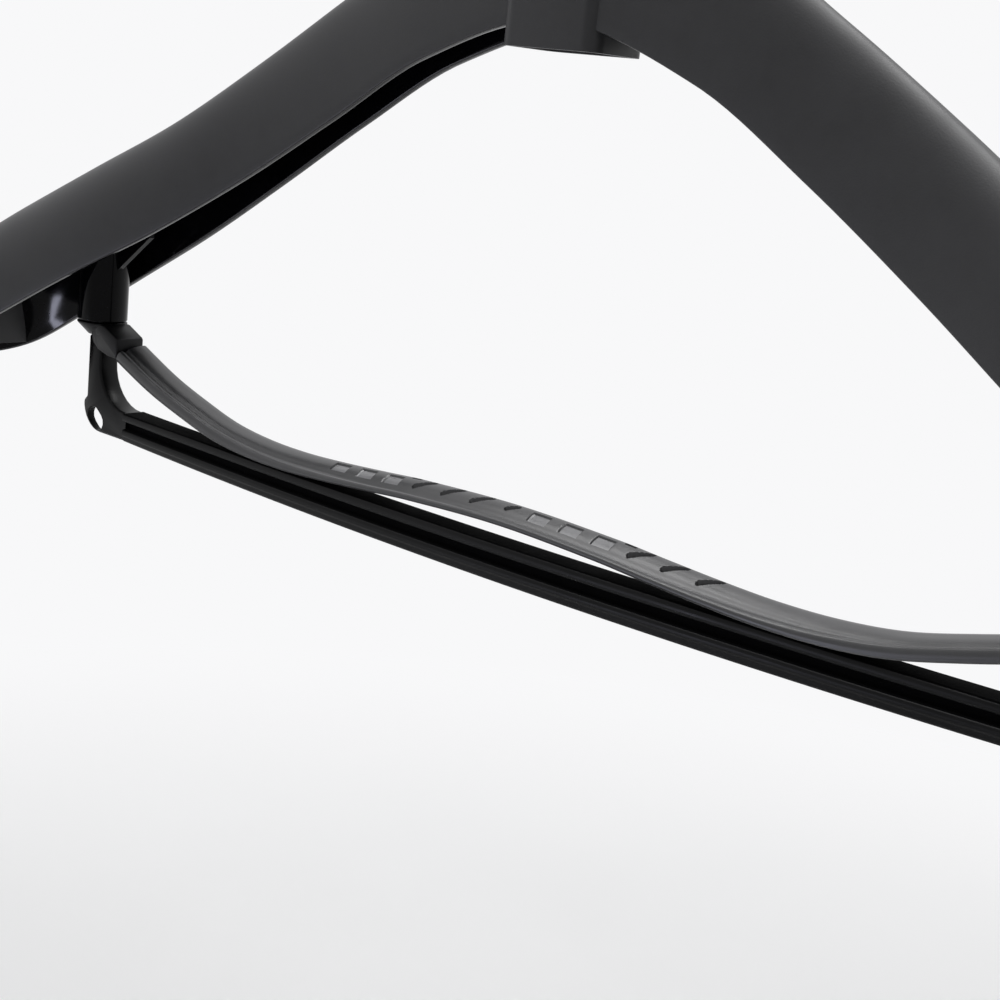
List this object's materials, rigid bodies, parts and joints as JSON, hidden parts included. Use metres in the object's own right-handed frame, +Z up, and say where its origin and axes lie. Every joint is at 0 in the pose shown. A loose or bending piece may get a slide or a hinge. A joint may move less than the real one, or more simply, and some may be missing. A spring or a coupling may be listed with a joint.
{
  "type": "suit hanger",
  "caption": "Black suit hanger with wide open-bottomed shoulders, a swivel hook, a fixed trouser bar and a wavy press bar that swings out on one post.",
  "frame": {"origin": "the highest point of the hook's inside, on the neck's upright axis, where the hook rests on a rail", "axes": "+X along the bars from the press bar's eye to its clip, +Y to the back, +Z up"},
  "size_m": [0.4518, 0.0427, 0.2411],
  "materials": {
    "satin_shell": "satin moulded",
    "gloss_bar": "gloss moulded",
    "nylon_core": "satin moulded",
    "soft_grip": "matte soft touch",
    "chrome_wire": "polished",
    "chrome_trim": "polished",
    "zinc_steel": "zinc plated"
  },
  "bodies": {
    "frame": {"shoulder_body": "satin_shell", "trouser_bar": "gloss_bar", "neck_collar": "chrome_trim", "hook_washer": "zinc_steel"},
    "hook": {"swivel_hook": "chrome_wire", "hook_nut": "zinc_steel"},
    "gate": {"press_bar": "nylon_core", "press_bar_grip": "soft_grip"}
  },
  "joints": [
    {"name": "hook_swivel", "type": "hinge", "parent": "frame", "child": "hook", "pos_m": [0, 0, -0.073], "axis": [0, 0, 1], "continuous": true},
    {"name": "press_swing", "type": "hinge", "parent": "frame", "child": "gate", "pos_m": [-0.1636, -0.0045, -0.2011], "axis": [0, 0, -1], "range_deg": [0, 110]}
  ]
}
